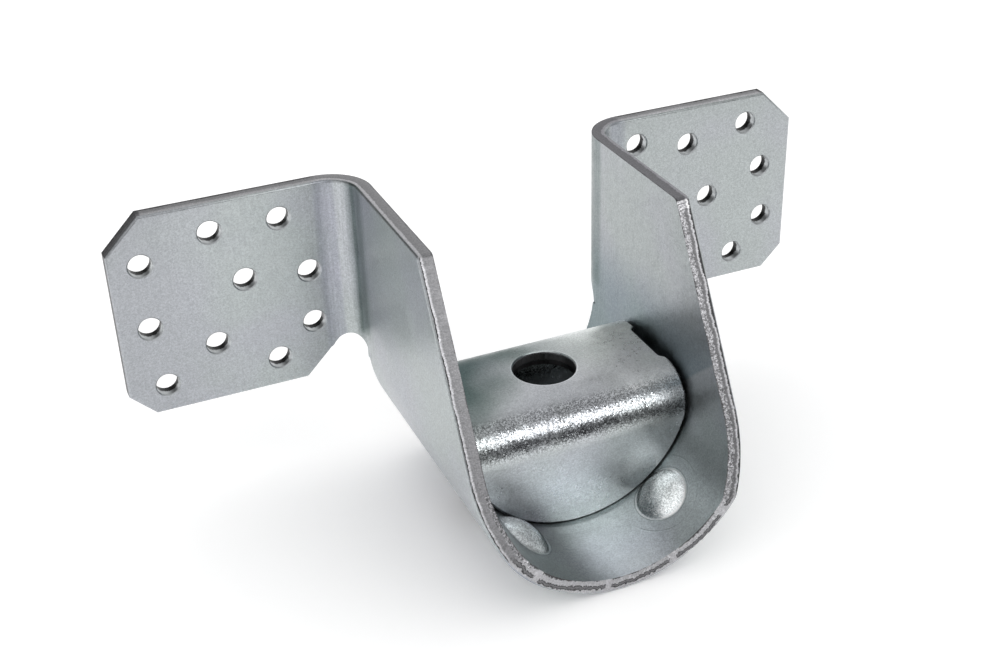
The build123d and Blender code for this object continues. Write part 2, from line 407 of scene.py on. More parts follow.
def add_node(tree, kind, settings=None, inputs=None):
    """Adds a node, sets its options, and fills or links its inputs by name or number."""
    made = tree.nodes.new(kind)
    for key, value in (settings or {}).items():
        setattr(made, key, value)
    for key, value in (inputs or {}).items():
        if isinstance(value, bpy.types.NodeSocket):
            tree.links.new(value, made.inputs[key])
        else:
            made.inputs[key].default_value = value
    return made


def calc(tree, operation, first, second=0.0, clamp=False):
    """A Math node's result."""
    settings = {"operation": operation, "use_clamp": clamp}
    return add_node(tree, "ShaderNodeMath", settings, {0: first, 1: second}).outputs[0]


def product(tree, first, *others):
    """Values multiplied together."""
    for other in others:
        first = calc(tree, "MULTIPLY", first, other)
    return first


def vector_calc(tree, operation, inputs):
    """A Vector Math node's vector."""
    return add_node(tree, "ShaderNodeVectorMath", {"operation": operation}, inputs).outputs[0]


def remap(tree, value, low, high, to_low=0.0, to_high=1.0):
    """A value stretched from one range to another and held inside it."""
    inputs = {"Value": value, "From Min": low, "From Max": high, "To Min": to_low, "To Max": to_high}
    settings = {"interpolation_type": "SMOOTHSTEP", "clamp": True}
    return add_node(tree, "ShaderNodeMapRange", settings, inputs).outputs["Result"]


def fade(tree, value, low, high):
    """1 below a range and 0 above it."""
    return remap(tree, value, low, high, 1.0, 0.0)


def spread(tree, pattern, to_low, to_high):
    """A noise pattern's usual range stretched to another."""
    return remap(tree, pattern, NOISE_LOW, NOISE_HIGH, to_low, to_high)


def band(tree, value, low, high, soft):
    """1 between two limits and 0 outside them, with soft sides."""
    rise = remap(tree, value, low - soft, low + soft)
    return product(tree, rise, fade(tree, value, high - soft, high + soft))


def mix_values(tree, factor, first, second):
    """A Mix node's value."""
    inputs = {0: factor, 2: first, 3: second}
    return add_node(tree, "ShaderNodeMix", {"data_type": "FLOAT"}, inputs).outputs[0]


def length_2d(tree, first, second):
    """The length of two sides at a right angle."""
    return calc(tree, "SQRT", calc(tree, "ADD", product(tree, first, first), product(tree, second, second)))


def past(tree, value, limit):
    """How far a value lies past a limit, and 0 before it."""
    return calc(tree, "MAXIMUM", calc(tree, "SUBTRACT", value, limit), 0.0)


def split_place(tree, place):
    """A place's X, Y and Z."""
    return add_node(tree, "ShaderNodeSeparateXYZ", None, {0: place}).outputs


def join_place(tree, *parts):
    """A place from its three parts."""
    return add_node(tree, "ShaderNodeCombineXYZ", None, dict(enumerate(parts))).outputs[0]


def blend_colors(tree, factor, first, second, kind="MIX"):
    """A Mix node's colour."""
    made = add_node(tree, "ShaderNodeMix", {"data_type": "RGBA", "blend_type": kind})
    for number, value in ((0, factor), (6, first), (7, second)):
        if isinstance(value, bpy.types.NodeSocket):
            tree.links.new(value, made.inputs[number])
        elif number == 0:
            made.inputs[number].default_value = value
        else:
            made.inputs[number].default_value = tuple(value[:3]) + (1.0,)
    return made.outputs[2]


def tinted(tree, factor, color, shade):
    """A colour multiplied by a shade where the factor is 1."""
    return blend_colors(tree, factor, color, shade, "MULTIPLY")


def toned(tree, color, level):
    """A colour multiplied by a grey level."""
    grey = add_node(tree, "ShaderNodeCombineColor", None, {0: level, 1: level, 2: level}).outputs[0]
    return tinted(tree, 1.0, color, grey)


def full_tint(color):
    """A colour brightened until its strongest channel is 1."""
    return tuple(channel / max(color) for channel in color)


def ramp_color(tree, value, stops, tint):
    """A Color Ramp's colour: each stop is a place from 0 to 1 and a grey level, and all share a tint."""
    made = add_node(tree, "ShaderNodeValToRGB", None, {0: value})
    ramp = made.color_ramp
    while len(ramp.elements) < len(stops):
        ramp.elements.new(1.0)
    for element, (at, level) in zip(ramp.elements, stops):
        element.position = at
        element.color = (level * tint[0], level * tint[1], level * tint[2], 1.0)
    return made.outputs["Color"]


def noise_value(tree, place, scale, detail=2.0, roughness=0.5):
    """A noise pattern's value."""
    inputs = {"Vector": place, "Scale": scale, "Detail": detail, "Roughness": roughness}
    return add_node(tree, "ShaderNodeTexNoise", None, inputs).outputs[0]


def edge_noise(tree, along, across, depth, stretch, scale):
    """Noise on a sheared edge, stretched through the sheet as the shear drew it."""
    drawn = join_place(tree, along, across, product(tree, depth, stretch))
    return noise_value(tree, drawn, scale, 3.0, 0.65)


def new_group(name, inputs, outputs):
    """A shader node group with named sockets, and its two end nodes."""
    group = bpy.data.node_groups.new(name, "ShaderNodeTree")
    for socket_name, kind, default in inputs:
        socket = group.interface.new_socket(name=socket_name, in_out="INPUT", socket_type=kind)
        if default is not None:
            socket.default_value = default
    for socket_name, kind in outputs:
        group.interface.new_socket(name=socket_name, in_out="OUTPUT", socket_type=kind)
    return group, group.nodes.new("NodeGroupInput"), group.nodes.new("NodeGroupOutput")


def crystal_group():
    """Small zinc crystals: each has its own grey, and leans its own way."""
    group, start, end = new_group(
        "Zinc crystals",
        [
            ("Place", "NodeSocketVector", None),
            ("Size", "NodeSocketFloat", 0.0004),
            ("Lean", "NodeSocketFloat", 0.1),
        ],
        [("Normal", "NodeSocketVector"), ("Grey", "NodeSocketFloat")],
    )
    scale = calc(group, "DIVIDE", 1.0, start.outputs["Size"])
    inputs = {"Vector": start.outputs["Place"], "Scale": scale}
    cells = add_node(group, "ShaderNodeTexVoronoi", None, inputs).outputs
    centred = vector_calc(group, "SUBTRACT", {0: cells["Color"], 1: (0.5, 0.5, 0.5)})
    leaned = vector_calc(group, "SCALE", {0: centred, 3: start.outputs["Lean"]})
    plain = add_node(group, "ShaderNodeNewGeometry").outputs["Normal"]
    normal = vector_calc(group, "NORMALIZE", {0: vector_calc(group, "ADD", {0: plain, 1: leaned})})
    channels = add_node(group, "ShaderNodeSeparateColor", None, {0: cells["Color"]}).outputs
    group.links.new(normal, end.inputs["Normal"])
    group.links.new(channels[0], end.inputs["Grey"])
    return group


def sheet_place_group():
    """Where a point lies in the folded sheet: how deep, how far along the fold and how far across."""
    group, start, end = new_group(
        "Sheet place",
        [("Place", "NodeSocketVector", None)],
        [("Depth", "NodeSocketFloat"), ("Along", "NodeSocketFloat"), ("Across", "NodeSocketFloat")],
    )
    place = split_place(group, start.outputs["Place"])
    out = calc(group, "ABSOLUTE", place["X"])
    above = calc(group, "SUBTRACT", place["Z"], SEAT_AXIS_Z)
    below_axis = calc(group, "LESS_THAN", above, 0.0)
    in_arch = calc(group, "LESS_THAN", out, SEAT_OUTER + SHEET / 4)
    in_seat = product(group, below_axis, in_arch)
    seat_depth = calc(group, "SUBTRACT", SEAT_OUTER, length_2d(group, out, above))
    turned = calc(group, "ARCTAN2", out, product(group, above, -1.0))
    seat_along = product(group, turned, SEAT_MIDDLE)
    wall_along = calc(group, "ADD", above, SEAT_MIDDLE * math.pi / 2)
    before_bend = calc(group, "MAXIMUM", calc(group, "SUBTRACT", BEND_X, out), 0.0)
    past_wall = past(group, place["Y"], BEND_Y)
    wall_depth = calc(group, "SUBTRACT", length_2d(group, before_bend, past_wall), BEND_INNER)
    bend_turn = calc(group, "ARCTAN2", past_wall, before_bend)
    bend_across = product(group, bend_turn, BEND_INNER + SHEET / 2)
    across = calc(group, "ADD", calc(group, "MINIMUM", place["Y"], BEND_Y), bend_across)
    across = calc(group, "ADD", across, past(group, out, BEND_X))
    group.links.new(mix_values(group, in_seat, wall_depth, seat_depth), end.inputs["Depth"])
    group.links.new(mix_values(group, in_seat, wall_along, seat_along), end.inputs["Along"])
    group.links.new(across, end.inputs["Across"])
    return group


def zinc_group():
    """Cloudy patches, fine grain and drawn streaks of galvanized sheet."""
    group, start, end = new_group(
        "Zinc surface",
        [
            ("Place", "NodeSocketVector", None),
            ("Drawn place", "NodeSocketVector", None),
            ("Color", "NodeSocketColor", (0.48, 0.499, 0.512, 1.0)),
            ("Roughness", "NodeSocketFloat", 0.42),
            ("Grain size", "NodeSocketFloat", 0.0007),
            ("Mottle size", "NodeSocketFloat", 0.012),
            ("Streaks", "NodeSocketFloat", 0.3),
            ("Crystals", "NodeSocketFloat", 0.5),
        ],
        [("Color", "NodeSocketColor"), ("Roughness", "NodeSocketFloat"), ("Height", "NodeSocketFloat")],
    )
    place = start.outputs["Place"]
    drawn = start.outputs["Drawn place"]
    strength = start.outputs["Streaks"]
    grain_scale = calc(group, "DIVIDE", 1.0, start.outputs["Grain size"])
    mottle_scale = calc(group, "DIVIDE", 1.0, start.outputs["Mottle size"])
    fine = noise_value(group, place, grain_scale, 2.0, 0.6)
    coarse = noise_value(group, place, product(group, grain_scale, 0.33), 2.0, 0.6)
    patches = noise_value(group, place, mottle_scale, 4.0, 0.55)
    tint = noise_value(group, place, product(group, mottle_scale, 0.35), 2.0, 0.5)
    streaks = noise_value(group, drawn, grain_scale, 3.0, 0.6)

    cool = blend_colors(group, remap(group, tint, 0.36, 0.64), (0.985, 1.01, 0.99), (1.0, 0.992, 1.025))
    color = tinted(group, 1.0, start.outputs["Color"], cool)
    tone = product(
        group,
        spread(group, patches, 0.95, 1.04),
        remap(group, fine, 0.32, 0.68, 0.93, 1.06),
        remap(group, coarse, 0.32, 0.68, 0.97, 1.03),
        mix_values(group, strength, 1.0, spread(group, streaks, 0.82, 1.12)),
        remap(group, start.outputs["Crystals"], 0.1, 0.9, 0.90, 1.10),
    )
    group.links.new(toned(group, color, tone), end.inputs["Color"])

    rough = calc(group, "ADD", start.outputs["Roughness"], spread(group, patches, -0.04, 0.05))
    rough = calc(group, "ADD", rough, spread(group, coarse, -0.05, 0.05), clamp=True)
    group.links.new(rough, end.inputs["Roughness"])

    height = calc(group, "ADD", product(group, fine, FINE_HEIGHT), product(group, coarse, COARSE_HEIGHT))
    height = calc(group, "ADD", height, product(group, patches, PATCH_HEIGHT))
    height = calc(group, "ADD", height, product(group, streaks, product(group, strength, STREAK_HEIGHT)))
    group.links.new(height, end.inputs["Height"])
    return group


def place_group(tree, make, name, inputs):
    """Puts a node group in a material. The group is built once, and every material shares it."""
    group = bpy.data.node_groups.get(name) or make()
    return add_node(tree, "ShaderNodeGroup", {"node_tree": group}, inputs).outputs


def place_sheet(tree, place):
    """Depth, Along and Across of a place in the folded sheet."""
    return place_group(tree, sheet_place_group, "Sheet place", {"Place": place})


def place_crystals(tree, place, size, lean):
    """Normal and Grey of the zinc crystals."""
    inputs = {"Place": place, "Size": size, "Lean": lean}
    return place_group(tree, crystal_group, "Zinc crystals", inputs)


def place_zinc(tree, settings, place, drawn, roughness, streaks, crystals):
    """Color, Roughness and Height of the galvanized surface."""
    return place_group(tree, zinc_group, "Zinc surface", {
        "Place": place,
        "Drawn place": drawn,
        "Color": tuple(settings.zinc) + (1.0,),
        "Roughness": roughness,
        "Grain size": settings.grain,
        "Mottle size": settings.mottle,
        "Streaks": streaks,
        "Crystals": crystals,
    })


def new_material(name):
    """A node material, its tree, its metal shader and the piece's own coordinates."""
    material = bpy.data.materials.new(name)
    material.use_nodes = True
    tree = material.node_tree
    shader = tree.nodes["Principled BSDF"]
    shader.inputs["Metallic"].default_value = 1.0
    place = add_node(tree, "ShaderNodeTexCoord").outputs["Object"]
    return material, tree, shader, place


def finish_shader(tree, shader, color, roughness, height, normal=None):
    """Joins colour, roughness, a height in metres and the crystals' normal to a material's shader."""
    tree.links.new(color, shader.inputs["Base Color"])
    tree.links.new(roughness, shader.inputs["Roughness"])
    bump = add_node(tree, "ShaderNodeBump", None, {"Strength": 1.0, "Distance": 1.0, "Height": height})
    if normal is not None:
        tree.links.new(normal, bump.inputs["Normal"])
    tree.links.new(bump.outputs["Normal"], shader.inputs["Normal"])


def painted_bend_shade(tree, color, across, height_z):
    """Painted shade in dull, dark and pale bands round the saddle's bends."""
    above_relief = remap(tree, height_z, RELIEF_TOP_Z, RELIEF_TOP_Z + RELIEF_FADE)
    painted_dull_shade = product(tree, band(tree, across, *PAINTED_DULL_BAND), above_relief)
    painted_dark_line = product(tree, band(tree, across, *PAINTED_LINE_BAND), above_relief)
    painted_pale_band = band(tree, across, *PAINTED_PALE_BAND)
    shades = (
        (painted_dull_shade, PAINTED_DULL_STRENGTH, PAINTED_BEND_SHADE),
        (painted_dark_line, PAINTED_LINE_STRENGTH, PAINTED_LINE_SHADE),
        (painted_pale_band, PAINTED_PALE_STRENGTH, PAINTED_PALE_SHADE),
    )
    for mask, strength, shade in shades:
        color = tinted(tree, product(tree, mask, strength), color, shade)
    return color


def painted_side_and_seat_light(tree, grain_and_painted_light, side, seat_front, crown):
    """Painted light and shade on the saddle from side to side, and on the seat's open front."""
    for tone in PAINTED_SIDE_LIGHT:
        grain_and_painted_light = product(tree, grain_and_painted_light, remap(tree, side, *tone))
    for tone in PAINTED_SEAT_LIGHT:
        grain_and_painted_light = product(tree, grain_and_painted_light, mix_values(tree, seat_front, 1.0, remap(tree, side, *tone)))
    painted_beside_light = product(tree, seat_front, band(tree, side, *BESIDE_DIMPLE), calc(tree, "SUBTRACT", 1.0, crown))
    return product(tree, grain_and_painted_light, mix_values(tree, painted_beside_light, 1.0, BESIDE_DIMPLE_PAINTED_LIGHT))


def painted_foot_shade(tree, color, axes, depth):
    """Painted shade on the lavender foot of the left wall's outer face."""
    low = product(tree, fade(tree, axes["Z"], *LOW_Z), fade(tree, depth, *LOW_DEPTH))
    low = product(tree, low, fade(tree, axes["X"], *LOW_X))
    return tinted(tree, low, color, PAINTED_FOOT_SHADE)


def painted_wall_shade(tree, color, axes, inner_face):
    """The patch of painted shade on the right wall's inner face."""
    slant = calc(tree, "ADD", axes["Z"], product(tree, axes["Y"], SLANT))
    shaded = product(tree, remap(tree, slant, *SLANT_EDGE), fade(tree, axes["Z"], *SHADED_Z))
    shaded = product(tree, shaded, product(tree, inner_face, remap(tree, axes["X"], *SHADED_X)))
    return tinted(tree, shaded, color, PAINTED_WALL_SHADE)


def sheet_material(settings):
    """Galvanized faces of the folded sheet: streaks, marked dimples, and painted light and shade on the
    bends, sides and domes.
    """
    material, tree, shader, place = new_material("Galvanized sheet")
    sheet = place_sheet(tree, place)
    axes = split_place(tree, place)
    drawn = join_place(tree, sheet["Across"], product(tree, sheet["Along"], STREAK_STRETCH), sheet["Depth"])
    wobble = spread(tree, noise_value(tree, drawn, 160.0, 3.0, 0.6), -BAND_WOBBLE, BAND_WOBBLE)
    across = calc(tree, "ADD", sheet["Across"], wobble)
    near_bend = band(tree, across, *STREAKY_BAND)
    streaks = calc(tree, "ADD", product(tree, near_bend, STREAKS_AT_BEND), STREAKS_FLAT)

    dimple_along = calc(tree, "SUBTRACT", sheet["Along"], DIMPLE_ALONG)
    dimple_across = calc(tree, "SUBTRACT", sheet["Across"], DIMPLE_Y)
    from_dimple = length_2d(tree, dimple_along, dimple_across)
    inner_face = remap(tree, sheet["Depth"], SHEET * 0.7, SHEET * 0.9)
    crown = product(tree, fade(tree, from_dimple, *CROWN_EDGE), inner_face)
    painted_rim_highlight = product(tree, band(tree, from_dimple, *PAINTED_RIM_HIGHLIGHT_BAND), inner_face)
    ring = product(tree, band(tree, from_dimple, *RING_BAND), inner_face)
    worn = remap(tree, noise_value(tree, place, 60.0, 1.0), 0.42, 0.58)
    witness = product(tree, band(tree, from_dimple, *WITNESS_BAND), inner_face, worn)

    crystals = place_crystals(tree, place, CRYSTAL_SIZE, mix_values(tree, crown, FLAT_LEAN, CROWN_LEAN))
    surface = place_zinc(tree, settings, place, drawn, settings.zinc_roughness, streaks, crystals["Grey"])
    # Painted shade in bands round the bends
    color = painted_bend_shade(tree, surface["Color"], across, axes["Z"])

    crystal_tone = remap(tree, crystals["Grey"], CRYSTAL_LOW, CRYSTAL_HIGH, 0.75, 1.35)
    # The crystals' own greys, multiplied further down by painted light and shade
    grain_and_painted_light = mix_values(tree, crown, 1.0, crystal_tone)
    # A painted highlight along the rim of each dome
    grain_and_painted_light = calc(tree, "ADD", grain_and_painted_light, product(tree, painted_rim_highlight, 0.5))
    # A painted highlight on one side of each dome, with less metal there
    toward_front = product(tree, dimple_across, DOME_HIGHLIGHT_TURN)
    bright_side = remap(tree, calc(tree, "ADD", dimple_along, toward_front), *DOME_HIGHLIGHT_EDGE)
    painted_dome_highlight = product(tree, crown, bright_side, DOME_HIGHLIGHT_STRENGTH)
    grain_and_painted_light = product(tree, grain_and_painted_light, mix_values(tree, painted_dome_highlight, 1.0, DOME_HIGHLIGHT_GAIN))
    # Painted light and shade from side to side, and on the seat's open front
    seat_front = product(tree, fade(tree, axes["Z"], *PAINTED_SEAT_LIGHT_Z), inner_face)
    grain_and_painted_light = painted_side_and_seat_light(tree, grain_and_painted_light, axes["X"], seat_front, crown)

    # Painted shade on the foot of the left wall's outer face
    color = toned(tree, painted_foot_shade(tree, color, axes, sheet["Depth"]), grain_and_painted_light)
    # Painted blue-grey shade on the right wall above the washer
    color = painted_wall_shade(tree, color, axes, inner_face)
    marks = calc(tree, "ADD", product(tree, ring, 0.5), product(tree, witness, 0.35))
    color = blend_colors(tree, marks, color, MARK_SHADE)

    rough = calc(tree, "SUBTRACT", surface["Roughness"], product(tree, crown, 0.15))
    height = calc(tree, "SUBTRACT", surface["Height"], product(tree, ring, RING_DEPTH))
    height = calc(tree, "SUBTRACT", height, product(tree, witness, WITNESS_DEPTH))
    tree.links.new(mix_values(tree, painted_dome_highlight, 1.0, DOME_HIGHLIGHT_METAL), shader.inputs["Metallic"])
    finish_shader(tree, shader, color, rough, height, crystals["Normal"])
    return material


def washer_depth(tree, axes):
    """How deep a point lies in the washer's pressed sheet, from its outer face."""
    past_top = past(tree, calc(tree, "ABSOLUTE", axes["Y"]), WASHER_BEND_Y)
    above_leg = past(tree, axes["Z"], WASHER_BEND_Z)
    return calc(tree, "SUBTRACT", WASHER_BEND, length_2d(tree, past_top, above_leg))


def washer_material(settings):
    """Galvanized faces of the washer: smoother, with crystals on the bends, a low wave, and painted light
    and shade.
    """
    material, tree, shader, place = new_material("Galvanized washer")
    stretch = {"Vector": place, "Scale": (STREAK_STRETCH, 1.0, 1.0)}
    drawn = add_node(tree, "ShaderNodeMapping", None, stretch).outputs[0]
    axes = split_place(tree, place)
    on_top = remap(tree, axes["Z"], *TOP_Z)
    round_bend = calc(tree, "SUBTRACT", calc(tree, "ABSOLUTE", axes["Y"]), axes["Z"])
    on_bend = band(tree, round_bend, *CRYSTAL_BAND)
    # The band of painted shade below the crystals
    painted_lower_shade = band(tree, round_bend, *PAINTED_LOWER_BAND)

    crystals = place_crystals(tree, place, CRYSTAL_SIZE, mix_values(tree, on_bend, FLAT_LEAN, BEND_LEAN))
    roughness = settings.washer_roughness
    surface = place_zinc(tree, settings, place, drawn, roughness, STREAKS_WASHER, crystals["Grey"])
    crystal_tone = remap(tree, crystals["Grey"], CRYSTAL_LOW, CRYSTAL_HIGH, 0.60, 1.40)
    # The crystals' own greys, then multiplied by a band of painted shade
    grain_and_painted_light = mix_values(tree, on_bend, 1.0, crystal_tone)
    grain_and_painted_light = product(tree, grain_and_painted_light, mix_values(tree, painted_lower_shade, 1.0, PAINTED_LOWER_SHADE))
    color = toned(tree, surface["Color"], grain_and_painted_light)

    wave = noise_value(tree, place, WAVE_SCALE, 1.0, 0.4)
    swayed = calc(tree, "ADD", axes["X"], spread(tree, wave, -SHADE_SWAY, SHADE_SWAY))
    corner = calc(tree, "SUBTRACT", axes["Y"], swayed)
    painted_dull_shade = product(tree, remap(tree, corner, *BACK_LEFT_SHADE_CORNER), on_top)
    painted_bright_end = product(tree, remap(tree, swayed, *BRIGHT_END), on_top)
    from_rod = length_2d(tree, axes["X"], axes["Y"])
    painted_rod_rim_highlight = product(tree, fade(tree, from_rod, *ROD_RIM), on_top)
    painted_leg_light = fade(tree, axes["Z"], *LEG_Z)
    painted_inside_shade = remap(tree, washer_depth(tree, axes), SHEET * 0.8, SHEET * 0.95)
    # Painted shade and light on the washer's top, rod hole rim, legs and inside
    shades = (
        (painted_dull_shade, BACK_LEFT_PAINTED_SHADE), (painted_bright_end, RIGHT_END_PAINTED_LIGHT), (painted_rod_rim_highlight, ROD_RIM_PAINTED_HIGHLIGHT),
        (painted_leg_light, LEG_PAINTED_LIGHT), (painted_inside_shade, INSIDE_PAINTED_SHADE),
    )
    for mask, shade in shades:
        color = tinted(tree, mask, color, shade)

    rough = calc(tree, "SUBTRACT", surface["Roughness"], product(tree, on_bend, 0.06))
    wave_height = mix_values(tree, on_top, LEG_WAVE, TOP_WAVE)
    height = calc(tree, "ADD", surface["Height"], product(tree, wave, wave_height))
    tree.links.new(mix_values(tree, painted_bright_end, 1.0, BRIGHT_METAL), shader.inputs["Metallic"])
    finish_shader(tree, shader, color, rough, height, crystals["Normal"])
    return material


def bridge_mask(tree, from_bottom):
    """1 where the torn groove is bridged."""
    bridge = 0.0
    for at, half in BRIDGES:
        bridge = calc(tree, "MAXIMUM", bridge, band(tree, from_bottom, at - half, at + half, BRIDGE_SOFT))
    return bridge


def sheared_material(settings):
    """The sheared edges of the folded sheet, in bands through it from its outer or front face."""
    material, tree, shader, place = new_material("Sheared edge")
    sheet = place_sheet(tree, place)
    places = sheet["Along"], sheet["Across"], sheet["Depth"]
    axes = split_place(tree, place)
    streaks, specks, ragged, swell, blotches = (
        edge_noise(tree, *places, *pattern)
        for pattern in (EDGE_STREAKS, EDGE_SPECKS, EDGE_RAGGED, EDGE_SWELL, EDGE_BLOTCHES)
    )
    crystals = place_crystals(tree, place, EDGE_CRYSTAL_SIZE, EDGE_LEAN)

    in_front = fade(tree, axes["Y"], *IN_FRONT_Y)
    front_edge = product(tree, fade(tree, axes["Z"], *ON_SEAT_Z), in_front)
    right_side = remap(tree, axes["X"], -MIDDLE, MIDDLE)
    on_top = remap(tree, axes["Z"], *ON_TOP_Z)
    below_top = calc(tree, "SUBTRACT", 1.0, on_top)
    past_bend = remap(tree, sheet["Across"], *PAST_BEND)
    sway = spread(tree, ragged, -RAGGED_SWAY, RAGGED_SWAY)
    sway = calc(tree, "ADD", sway, spread(tree, swell, -SWELL_SWAY, SWELL_SWAY))
    slope_sway = remap(tree, axes["X"], -MIDDLE, MIDDLE, *SLOPE_SWAYS)
    sway = product(tree, sway, mix_values(tree, front_edge, slope_sway, 1.0))
    share = calc(tree, "DIVIDE", calc(tree, "ADD", sheet["Depth"], sway), SHEET)
    from_bottom = product(tree, sheet["Along"], calc(tree, "SIGN", axes["X"]))
    from_bottom = calc(tree, "ADD", from_bottom, spread(tree, ragged, -BRIDGE_SWAY, BRIDGE_SWAY))
    bridge = bridge_mask(tree, from_bottom)

    tint = full_tint(settings.cut)
    # Bands through each edge, with a painted highlight along the outer rim and painted shade in the seat's
    # groove
    left, right, top, seat, flange = (
        ramp_color(tree, share, bands, tint)
        for bands in (LEFT_BANDS, RIGHT_BANDS, TOP_BANDS, SEAT_BANDS, FLANGE_BANDS)
    )
    color = blend_colors(tree, front_edge, blend_colors(tree, right_side, left, right), seat)
    color = blend_colors(tree, product(tree, bridge, in_front), color, BRIDGE_COLOR)
    color = blend_colors(tree, on_top, color, tinted(tree, right_side, top, RIGHT_TOP_SHADE))
    color = blend_colors(tree, past_bend, color, flange)
    past_corner = calc(tree, "SUBTRACT", calc(tree, "ABSOLUTE", axes["X"]), CORNER_X)
    corner = product(tree, remap(tree, past_corner, 0.0, CORNER_FADE), remap(tree, share, *CORNER_SHARE))
    color = tinted(tree, product(tree, corner, past_bend), color, CORNER_SHADE)

    foot = product(tree, fade(tree, from_bottom, *FOOT_BOTTOM), remap(tree, from_bottom, *FOOT_TOP))
    foot_inner = product(tree, remap(tree, share, *FOOT_SHARE), fade(tree, axes["Y"], *FOOT_Y))
    seat_share = mix_values(tree, front_edge, 1.0, BITTEN_ON_SEAT)
    bitten = product(tree, remap(tree, share, *BITTEN_SHARE), right_side, below_top, seat_share)
    bitten = calc(tree, "MAXIMUM", bitten, product(tree, foot, foot_inner))
    crystal_tone = remap(tree, crystals["Grey"], CRYSTAL_LOW, CRYSTAL_HIGH, 0.65, 1.35)
    bites = product(tree, crystal_tone, remap(tree, blotches, 0.4, 0.6, 0.55, 1.4))
    chipped = product(tree, remap(tree, axes["Z"], *CHIPPED_Z), right_side, below_top)
    tone = product(
        tree,
        spread(tree, streaks, 0.86, 1.14),
        remap(tree, specks, 0.3, 0.72, 0.84, 1.2),
        mix_values(tree, bitten, 1.0, bites),
        mix_values(tree, chipped, 1.0, remap(tree, streaks, 0.42, 0.58, 0.6, 2.4)),
    )
    color = toned(tree, color, tone)

    groove = product(tree, band(tree, share, *GROOVE_BAND), front_edge, calc(tree, "SUBTRACT", 1.0, bridge))
    height = calc(tree, "ADD", product(tree, streaks, EDGE_HEIGHT), product(tree, specks, EDGE_HEIGHT))
    height = calc(tree, "SUBTRACT", height, product(tree, groove, GROOVE_DEPTH))
    finish_shader(tree, shader, color, spread(tree, streaks, 0.38, 0.58), height, crystals["Normal"])
    return material


def hole_material(settings):
    """The walls of the screw holes: clean zinc at the front, and painted shade behind."""
    material, tree, shader, place = new_material("Punched hole")
    sheet = place_sheet(tree, place)
    torn = edge_noise(tree, sheet["Along"], sheet["Across"], sheet["Depth"], *HOLE_ROUGH)
    depth = calc(tree, "ADD", sheet["Depth"], spread(tree, torn, -BAND_SWAY, BAND_SWAY))
    # Bands with painted shade towards the back of the hole walls
    color = ramp_color(tree, calc(tree, "DIVIDE", depth, SHEET), HOLE_BANDS, full_tint(settings.zinc))
    finish_shader(tree, shader, color, spread(tree, torn, 0.3, 0.5), product(tree, torn, HOLE_HEIGHT))
    return material


def washer_edge_material(settings):
    """The sheared edges of the washer, in bands through its sheet, with a painted highlight along the outer
    rim.
    """
    material, tree, shader, place = new_material("Washer edge")
    axes = split_place(tree, place)
    depth = washer_depth(tree, axes)
    streaks = edge_noise(tree, axes["X"], axes["Y"], depth, *WASHER_STREAKS)
    depth = calc(tree, "ADD", depth, spread(tree, streaks, -BAND_SWAY, BAND_SWAY))
    # Bands with a painted highlight along the outer rim
    color = ramp_color(tree, calc(tree, "DIVIDE", depth, SHEET), WASHER_BANDS, full_tint(settings.cut))
    color = toned(tree, color, spread(tree, streaks, 0.75, 1.25))
    height = product(tree, streaks, WASHER_EDGE_HEIGHT)
    finish_shader(tree, shader, color, spread(tree, streaks, 0.35, 0.55), height)
    return material


def select_only(piece):
    """Leaves one object selected and active."""
    bpy.ops.object.select_all(action="DESELECT")
    piece.select_set(True)
    bpy.context.view_layer.objects.active = piece


def merged_copy(node_name, piece_name):
    """A copy of a CAD node with its loose triangles joined into whole faces."""
    mesh = frame["nodes"][node_name].data.copy()
    mesh.name = piece_name
    piece = bpy.data.objects.new(piece_name, mesh)
    bpy.context.scene.collection.objects.link(piece)
    select_only(piece)
    if mesh.has_custom_normals:
        bpy.ops.mesh.customdata_custom_splitnormals_clear()
    bpy.ops.object.mode_set(mode="EDIT")
    bpy.ops.mesh.select_all(action="SELECT")
    bpy.ops.mesh.remove_doubles(threshold=MERGE_DISTANCE)
    bpy.ops.mesh.dissolve_limited(angle_limit=FLAT_ANGLE)
    bpy.ops.object.mode_set(mode="OBJECT")
    bpy.ops.object.shade_smooth_by_angle(angle=SMOOTH_ANGLE)
    return piece


def give_materials(piece, materials):
    """Fills a piece's material slots."""
    piece.data.materials.clear()
    for material in materials:
        piece.data.materials.append(material)


def body_sheet_normal(place):
    """The direction through the folded sheet at a place on the saddle."""
    out = abs(place.x)
    side = math.copysign(1.0, place.x)
    if out > BEND_X:
        return Vector((0, 1, 0))
    if place.y > BEND_Y and place.z > BEND_FOOT_Z:
        return Vector((side * (out - BEND_X), place.y - BEND_Y, 0)).normalized()
    if place.z > SEAT_AXIS_Z:
        return Vector((1, 0, 0))
    return Vector((place.x, 0, place.z - SEAT_AXIS_Z)).normalized()


def washer_sheet_normal(place):
    """The direction out through the pressed sheet at a place on the washer."""
    side = math.copysign(1.0, place.y)
    if abs(place.y) < WASHER_BEND_Y:
        return Vector((0, 0, 1))
    if place.z < WASHER_BEND_Z:
        return Vector((0, side, 0))
    return Vector((0, side * (abs(place.y) - WASHER_BEND_Y), place.z - WASHER_BEND_Z)).normalized()


